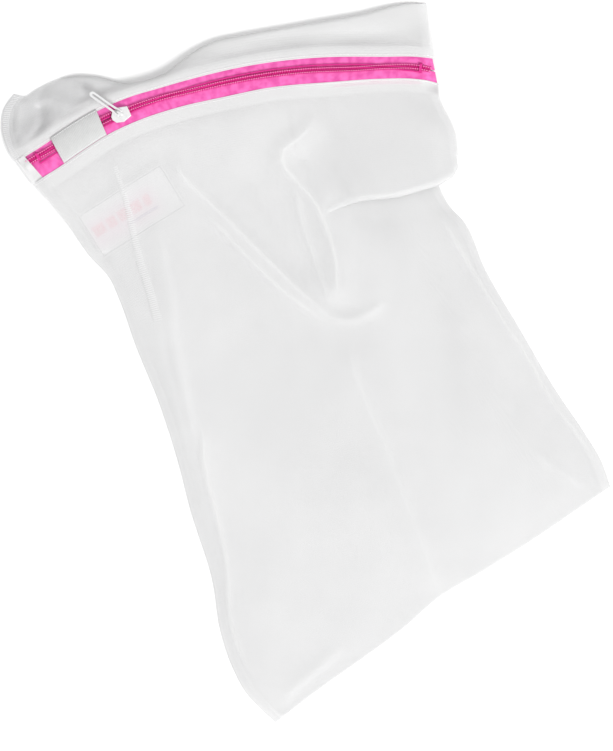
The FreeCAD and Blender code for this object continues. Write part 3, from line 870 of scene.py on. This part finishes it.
def make_panels(bag, material):
    """The two front panels and the back, each one sheet of net."""
    lower = sheet_object("front_lower_cloth", bag["lower"]["front"], cloth_uv(bag, "lower", -1),
                         crest=bag["lower"]["crest"])
    upper = sheet_object("front_upper_cloth", bag["upper"]["front"], cloth_uv(bag, "upper", 1),
                         flip=True, crest=bag["upper"]["crest"])
    # the back is one cut: up from the bottom fold, under the zip, and on to the top fold
    low_rows = bag["lower"]["back"][::-1]
    high_rows = bag["upper"]["back"]
    share = np.linspace(0, 1, 14)[1:-1, None, None]
    bridge = low_rows[-1] * (1 - share) + high_rows[0] * share
    grid = np.concatenate([low_rows, bridge, high_rows])
    low_run = -bag["lower"]["run"][::-1]
    bridge_run = low_run[-1] + WINDOW_WIDTH * share[..., 0] * np.ones(COLUMNS)
    run = np.concatenate([low_run, bridge_run, bag["upper"]["run"] + WINDOW_WIDTH])
    across = np.broadcast_to(bag["s"][None, :], run.shape) * BAG_WIDTH
    back = sheet_object("back_cloth", grid, np.stack([across, run], -1) * MM, flip=True)
    finish_piece(lower, material, ["front_lower_panel"])
    finish_piece(upper, material, ["front_upper_panel"])
    finish_piece(back, material, ["back_panel"])
    return lower, upper, back


def along_columns(run, field, where):
    """A front panel's field at the lengths where, one row for each of them, in every column."""
    found = np.zeros((len(where), COLUMNS, 3))
    for c in range(COLUMNS):
        for i in range(3):
            found[:, c, i] = np.interp(where, run[:, c], field[:, c, i])
    return found


def make_hems(bag, material):
    """The cut edge of each front panel, turned under along the zip."""
    hems = {}
    for part, width in (("lower", 10.0), ("upper", 7.5)):
        below_front = bag[part]["front"] - bag[part]["normal"] * 0.35
        where = np.linspace(0, width, 12)
        grid = along_columns(bag[part]["run"], below_front, where)
        across = np.broadcast_to(bag["s"][None, :], grid.shape[:2]) * BAG_WIDTH
        down = np.broadcast_to(where[:, None], grid.shape[:2]) + 0.7
        uvs = np.stack([across, down], -1) * MM
        hem = sheet_object(part + "_hem", grid, uvs, flip=part == "upper")
        hems[part] = finish_piece(hem, material)
    return hems


def strip_uv(angles, offsets):
    """Place of each point of a strip along the zip and across it, in metres."""
    along = np.radians(angles) * ZIP_RADIUS
    return np.stack([np.stack([along, np.full_like(along, o)], -1) for o in offsets]) * MM


def make_tapes(material):
    """Both woven tapes, from under the chain to under the hems, with slanted right ends."""
    angles = np.linspace(SEAM_RIGHT + 0.1, TAPE_LEFT_END, 420)
    chain = line_offset(CHAIN_LINE, angles)
    for name, side in (("upper", 1), ("lower", -1)):
        inner = side * (0.5 + 0.6 * chain_gap(angles)) + chain
        hem = UPPER_HEM_LINE if side > 0 else LOWER_HEM_LINE
        past_seam = smooth((angles - SEAM_RIGHT) / 2.5)
        under_hem = 0.4 + (TAPE_UNDER_HEM - 0.4) * past_seam
        outer = line_offset(hem, angles) + side * under_hem
        share = np.linspace(0, 1, 16)
        rows = []
        for t in share:
            offset = inner + (outer - inner) * t
            ripple = 0.1 * waves(angles * 7, offset, 16, 21 + side) * math.sin(math.pi * t)
            sink = 0.5 * smooth(np.array(t * 1.8 - 0.8))
            slanted = angles + SEAM_RIGHT_SLANT * (offset - chain) * (1 - past_seam)
            level = tape_height(slanted) + (TAPE_HIGH - TAPE_LOW) / 2 + ripple - sink
            rows.append(zip_points(slanted, offset, level))
        tape = slab_object(name + "_tape", np.stack(rows), TAPE_HIGH - TAPE_LOW,
                           strip_uv(angles, share * 11.5))
        finish_piece(tape, material, [name + "_zip_tape"])


def chain_gap(angles):
    """How far each coil stands from the chain's middle: open to the left of the slider."""
    past = (angles - SLIDER_ANGLE) * math.radians(1) * ZIP_RADIUS
    opened = smooth((past + 2.0) / 4.0)
    closing = 1 - 0.75 * smooth((past - 20) / 45)
    return COIL_OPEN_GAP * opened * closing


def make_coils(material, thread):
    """
    Nylon monofilament wound into two coils whose heads mesh along the chain, and the row
    of stitches that holds each coil on its tape.
    """
    start = ZIP_RIGHT - 0.9
    length = math.radians(ZIP_LEFT - ZIP_RIGHT + 2.2) * ZIP_RADIUS
    turns = int(length / COIL_PITCH)
    per_turn = 14
    wire = 0.34
    for name, side, phase in (("upper", 1, 0.0), ("lower", -1, 0.5)):
        t = np.arange(turns * per_turn + 1) / per_turn
        angles = start + np.degrees((t + phase) * COIL_PITCH / ZIP_RADIUS)
        turn = 2 * math.pi * t
        squared = np.sign(np.cos(turn)) * np.abs(np.cos(turn)) ** 0.7
        inner, outer = -0.42, 2.0
        reach = (inner + outer) / 2 + squared * (outer - inner) / 2
        low = wire
        high = COIL_TOP - TAPE_HIGH - wire
        head = smooth((1.0 - reach) / 1.3)
        rise = (low + high) / 2 + np.sin(turn) * (high - low) / 2 * (1 - 0.55 * head) - 0.25 * head
        offset = side * (reach + chain_gap(angles)) + line_offset(CHAIN_LINE, angles)
        base = tape_height(angles) + (TAPE_HIGH - TAPE_LOW) / 2
        vertices, faces = tube(zip_points(angles, offset, base + rise), wire, 7)
        coil = new_mesh(name + "_coil_winding", vertices, faces)
        fix_normals(coil)
        finish_piece(coil, material, [name + "_coil"])
        paths = []
        for k in range(turns):
            middle = start + np.degrees((k + phase + 0.25) * COIL_PITCH / ZIP_RADIUS)
            along = np.linspace(-0.24, 0.24, 5) * COIL_PITCH
            a = middle + np.degrees(along / ZIP_RADIUS)
            seat = side * (1.25 + chain_gap(a)) + line_offset(CHAIN_LINE, a)
            top = tape_height(a) + (TAPE_HIGH - TAPE_LOW) / 2 + COIL_TOP - TAPE_HIGH
            lift = 0.3 * np.cos(along / COIL_PITCH * 2 * math.pi) - 0.1
            paths.append(zip_points(a, seat, top + lift))
        row = thread_object(name + "_coil_thread", paths, 0.27)
        finish_piece(row, thread, [name + "_coil_stitching"])


def make_topstitching(bag, material):
    """A row of stitches along each hem, close to its fold."""
    for part in ("lower", "upper"):
        run = bag[part]["run"]
        line = along_columns(run, bag[part]["front"], [TOPSTITCH_INSET])[0]
        up = along_columns(run, bag[part]["normal"], [TOPSTITCH_INSET])[0]
        row = thread_object(part + "_topstitching", stitches(line, up, 2.6), 0.17)
        finish_piece(row, material, [part + "_topstitch"])


def seam_grid(bag, layer, columns):
    """Points of one layer along the given columns, from the bottom fold to the top fold."""
    grids = []
    for part in ("lower", "upper"):
        cloth = bag[part][layer]
        place = np.asarray(columns) * (COLUMNS - 1)
        before = np.clip(place.astype(int), 0, COLUMNS - 2)
        share = (place - before)[None, :, None]
        grids.append(cloth[:, before] * (1 - share) + cloth[:, before + 1] * share)
    share = np.linspace(0, 1, 14)[1:-1, None, None]
    bridge = grids[0][0] * (1 - share) + grids[1][0] * share
    return np.concatenate([grids[0][::-1], bridge, grids[1]])


def make_side_seams(bag, material, thread):
    """
    Cut edges of both panels, overlocked together inside each side seam. The thread leaves
    the zip's ends bare.
    """
    pitch = 1.5
    bare_zip_end = 9
    bare_tape = 12
    for name, edge in (("left", 0), ("right", 1)):
        inset = np.linspace(0.8, 7.0, 6) / BAG_WIDTH
        columns = inset if edge == 0 else 1 - inset
        grid = seam_grid(bag, "middle", columns)
        run = run_along(grid[:, 0])
        uv = np.stack([np.broadcast_to(inset[None, :] * BAG_WIDTH, grid.shape[:2]),
                       np.broadcast_to(run[:, None], grid.shape[:2])], -1) * MM
        binding = sheet_object(name + "_seam_allowance", grid, uv)
        finish_piece(binding, material, [name + "_side_binding"])
        top = seam_grid(bag, "front", columns)
        run = run_along(top[:, 0])
        places = np.arange(len(columns))
        across = np.linspace(0.0, len(columns) - 1.0, 9)
        path = []
        for k in range(int(run[-1] / pitch)):
            lean = k * pitch + pitch * 0.35 * across / across[-1]
            stitch = np.zeros((9, 3))
            for i in range(3):
                values = np.array([np.interp(lean, run, top[:, c, i]) for c in places])
                stitch[:, i] = [np.interp(a, places, values[:, q]) for q, a in enumerate(across)]
            from_chain = math.dist(stitch[0, :2], ZIP_CENTRE) - ZIP_RADIUS
            if name == "left" and from_chain > bare_zip_end:
                # above the zip's left end: the outer part of each stitch, just over the cloth
                path.append(stitch[:6] + np.array([0, 0, 0.12]))
            elif abs(from_chain) > bare_tape:
                # whole stitches just under the front net, seen through it
                path.append(stitch + np.array([0, 0, -0.35]))
        row = thread_object(name + "_overlock_thread", path, 0.18, 5)
        finish_piece(row, thread, [name + "_side_stitching"])


def height_finder(cover):
    """Function that gives the height of a piece at a plan point, or None beside the piece."""
    tree = BVHTree.FromPolygons([v.co for v in cover.data.vertices],
                                [p.vertices for p in cover.data.polygons])

    def height(x, y):
        hit = tree.ray_cast(Vector((x * MM, y * MM, 0.1)), Vector((0, 0, -1)))[0]
        return hit.z / MM if hit else None

    return height


def make_turned_seam(cover, thread):
    """Overlocked seam edge turned in under the front net, seen as a ribbed strip through it."""
    height = height_finder(cover)
    line = spline(LEFT_STRIP, np.linspace(0.06, 0.98, 76))
    way = np.gradient(line, axis=0)
    way /= np.linalg.norm(way, axis=1, keepdims=True)
    paths = []
    for k, ((x, y), (dx, dy)) in enumerate(zip(line, way)):
        half_width = 1.6 + 1.8 * k / len(line)
        path = []
        for t in np.linspace(-half_width, half_width, 6):
            px, py = x - dy * t, y + dx * t
            top = height(px, py)
            if top is not None:
                path.append([px, py, top - 0.12])
        if len(path) == 6:
            paths.append(np.array(path))
    row = thread_object("turned_seam_thread", paths, 0.28, 5)
    finish_piece(row, thread)


def make_bartacks(material):
    """Thread wrapped over each end of the chain."""
    wraps = 9
    half_length = 0.8
    half_width = 3.4
    for name in ("left", "right"):
        low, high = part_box(name + "_bartack")
        middle = (low + high) / 2 / MM
        angle = math.degrees(math.atan2(middle.y - ZIP_CENTRE[1], middle.x - ZIP_CENTRE[0]))
        paths = []
        for k in range(wraps):
            a = angle + math.degrees((k / (wraps - 1) - 0.5) * 2 * half_length / ZIP_RADIUS)
            across = np.linspace(-half_width, half_width, 16)
            level = COIL_TOP + 0.2 - 1.7 * smooth((np.abs(across) - 2.6) / 0.8)
            offset = across + line_offset(CHAIN_LINE, a)
            paths.append(zip_points(np.full(16, a), offset, level))
        row = thread_object(name + "_bartack_thread", paths, 0.2)
        finish_piece(row, material, [name + "_bartack"])


def make_end_cover(material):
    """Doubled net of the side seam, lapped over the tapes where the zip ends at the left."""
    angles = np.linspace(COVER_START, SEAM_LEFT + 0.05, 12)
    rows = []
    for share in np.linspace(0, 1, 24):
        low = line_offset(LOWER_HEM_LINE, angles) - 1.5
        high = line_offset(UPPER_HEM_LINE, angles) + 1.5
        lean = (share - 0.5) * 0.35
        offset = low + (high - low) * share
        over_chain = 1.6 * np.exp(-((offset - 2.0) / 3.4) ** 2) * (angles < 102.6)
        level = tape_height(angles) + 0.75 + over_chain
        rows.append(zip_points(angles + lean * (angles < 102.9), offset, level))
    uvs = strip_uv(angles, np.linspace(-12, 12, 24))
    cover = sheet_object("left_zip_end_cover", np.stack(rows), uvs, flip=True)
    finish_piece(cover, material)


def make_garage(material, thread):
    """Elastic strip over the chain, sewn down along both edges of the tapes."""
    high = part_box("garage_band")[1].z / MM
    start, stop = 93.5, 98.9
    share = np.linspace(-1, 1, 41)
    seat = TAPE_HIGH + 1.0
    grid = []
    for t in share:
        angles = np.linspace(start, stop, 60) + 0.16 * (1 - t) / 2
        lower = line_offset(LOWER_HEM_LINE, angles) + 0.2
        upper = line_offset(UPPER_HEM_LINE, angles) + 1.6
        offset = lower + (upper - lower) * (t + 1) / 2
        arch = (1 - abs(t) ** 2.6) ** 0.8
        sway = 0.12 * np.sin((angles - start) * 2.1 + t) * arch
        height = seat + (high - seat) * arch + sway
        grid.append(zip_points(angles, offset, height))
    grid = np.stack(grid)
    uv = strip_uv(np.linspace(start, stop, 60), (share + 1) * 9)
    band = slab_object("garage_elastic", grid, GARAGE_THICKNESS, uv)
    finish_piece(band, material, ["garage_band"])
    for name, row_number in (("upper", 38), ("lower", 2)):
        line = grid[row_number, 1:-1]
        up = np.tile([0.0, 0.0, 1.0], (len(line), 1))
        row = thread_object("garage_" + name + "_thread", stitches(line, up, 2.2), 0.15)
        finish_piece(row, thread, ["garage_" + name + "_stitching"])


def make_label(cover, material, thread):
    """Sewn-in label just behind the front net, following it."""
    height = height_finder(cover)
    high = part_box("care_label")[1]
    length, width, tilt = LABEL_LENGTH, LABEL_WIDTH, math.radians(LABEL_TILT)

    def rest(x, y, below):
        """Point of the label at (x, y) from its middle, that far below the net."""
        px = LABEL_MIDDLE[0] + x * math.cos(tilt) - y * math.sin(tilt)
        py = LABEL_MIDDLE[1] + x * math.sin(tilt) + y * math.cos(tilt)
        top = height(px, py)
        return [px, py, (high.z / MM if top is None else top) - below]

    columns, rows = 65, 43
    xs = np.linspace(-length / 2, length / 2, columns)
    ys = np.linspace(-width / 2, width / 2, rows)
    grid = np.array([[rest(x, y, 0.45) for x in xs] for y in ys])
    uv = np.array([[(x + length / 2, y + width / 2) for x in xs] for y in ys]) * MM
    label = slab_object("sewn_label", grid, 0.25, uv)
    finish_piece(label, material, ["care_label"])
    margin = 2.0
    x, y = length / 2 - margin, width / 2 - margin
    corners = [(-x, -y), (x, -y), (x, y), (-x, y), (-x, -y)]
    paths = []
    for a, b in zip(corners, corners[1:]):
        spots = [np.array(a) + (np.array(b) - a) * t for t in np.linspace(0, 1, 30)]
        line = np.array([rest(x, y, 0.4) for x, y in spots])
        paths += stitches(line, np.tile([0.0, 0.0, 1.0], (30, 1)), 2.4)
    row = thread_object("label_thread", paths, 0.16)
    finish_piece(row, thread, ["label_stitching"])


def dress_cad(name, material):
    """Better material on a CAD node that keeps its own shape."""
    obj = frame["nodes"][name]
    obj.data.materials.clear()
    obj.data.materials.append(material)


# ---- Stage -------------------------------------------------------------------------

PICTURE_ROWS, ROWS_PER_MM = 751, 1.4
SPAN = PICTURE_ROWS / ROWS_PER_MM * MM
SENSOR_WIDTH = 36.0
CAMERA_PLACE = (-0.0240, -0.0233)
CAMERA_DISTANCE = 2.2
FRONT_LEVEL = 0.008
CAMERA_ROLL = math.radians(-22.8)


def make_camera():
    """Camera straight above the bag, far enough away for an almost parallel view."""
    data = bpy.data.cameras.new("camera")
    camera = bpy.data.objects.new("camera", data)
    bpy.context.scene.collection.objects.link(camera)
    data.sensor_width = SENSOR_WIDTH
    data.lens = SENSOR_WIDTH * CAMERA_DISTANCE / SPAN
    camera.location = (*CAMERA_PLACE, CAMERA_DISTANCE + FRONT_LEVEL)
    camera.rotation_euler = (0.0, 0.0, CAMERA_ROLL)
    bpy.context.scene.camera = camera


def area_light(name, location, size, power):
    """Square light that faces the middle of the bag."""
    data = bpy.data.lights.new(name, "AREA")
    data.shape = "SQUARE"
    data.size = size
    data.energy = power
    light = bpy.data.objects.new(name, data)
    bpy.context.scene.collection.objects.link(light)
    light.location = location
    light.rotation_euler = (-Vector(location)).to_track_quat("-Z", "Y").to_euler()


def make_stage():
    """White floor, even white surroundings, one large key light and a weak fill light."""
    size = 6.0
    corners = np.array([(-size, -size, 0), (size, -size, 0), (size, size, 0), (-size, size, 0)])
    floor = new_mesh("floor", corners / MM, [(0, 1, 2, 3)])
    floor.location.z = -0.00005
    floor.data.materials.append(floor_material())
    world = bpy.data.worlds.new("studio")
    bpy.context.scene.world = world
    world.use_nodes = True
    background = world.node_tree.nodes["Background"]
    background.inputs["Color"].default_value = (1, 1, 1, 1)
    background.inputs["Strength"].default_value = 0.64
    area_light("key", location=(1.5, -4.05, 4.5), size=2.7, power=335)
    area_light("fill", location=(-1.4, 1.0, 1.8), size=1.6, power=7)
    view = bpy.context.scene.view_settings
    view.view_transform = "Standard"
    view.look = "None"


def main():
    """The whole scene: stage, materials and pieces."""
    make_camera()
    make_stage()
    net = net_material("net_cloth", (0.83, 0.83, 0.83), (0.69, 0.69, 0.695), 0.93, 0.70)
    hem = net_material("net_hem", (0.86, 0.86, 0.86), (0.76, 0.76, 0.76), 0.97, 0.4)
    seam = net_material("seam_cloth", (0.95, 0.95, 0.95), (0.84, 0.84, 0.84), 1.0, 0.25)
    tape = tape_material("pink_tape")
    nylon = nylon_material("pink_nylon", (0.50, 0.008, 0.15), (0.86, 0.045, 0.34))
    pink = thread_material("pink_thread", (0.92, 0.14, 0.46), (1.0, 0.42, 0.70))
    white = thread_material("white_thread", (0.84, 0.84, 0.85), (0.95, 0.95, 0.95))
    plastic = plastic_material("slider_plastic")
    bag = build_bag()
    lower, upper, back = make_panels(bag, net)
    hems = make_hems(bag, hem)
    make_tapes(tape)
    make_coils(nylon, pink)
    make_topstitching(bag, white)
    make_side_seams(bag, seam, white)
    make_bartacks(nylon)
    make_end_cover(net_material("folded_net", (0.80, 0.80, 0.80), (0.70, 0.70, 0.705), 1.0, 0.2))
    make_garage(elastic_material("ribbed_elastic"), white)
    make_turned_seam(lower, thread_material("seam_thread", (0.70, 0.70, 0.705), (0.82, 0.82, 0.82)))
    make_label(lower, label_material("satin_label", LABEL_LENGTH, LABEL_WIDTH), white)
    dress_cad("slider_body", plastic)
    dress_cad("pull_tab", plastic)
    for name in ("upper_coil_cord", "lower_coil_cord"):
        dress_cad(name, nylon)


main()
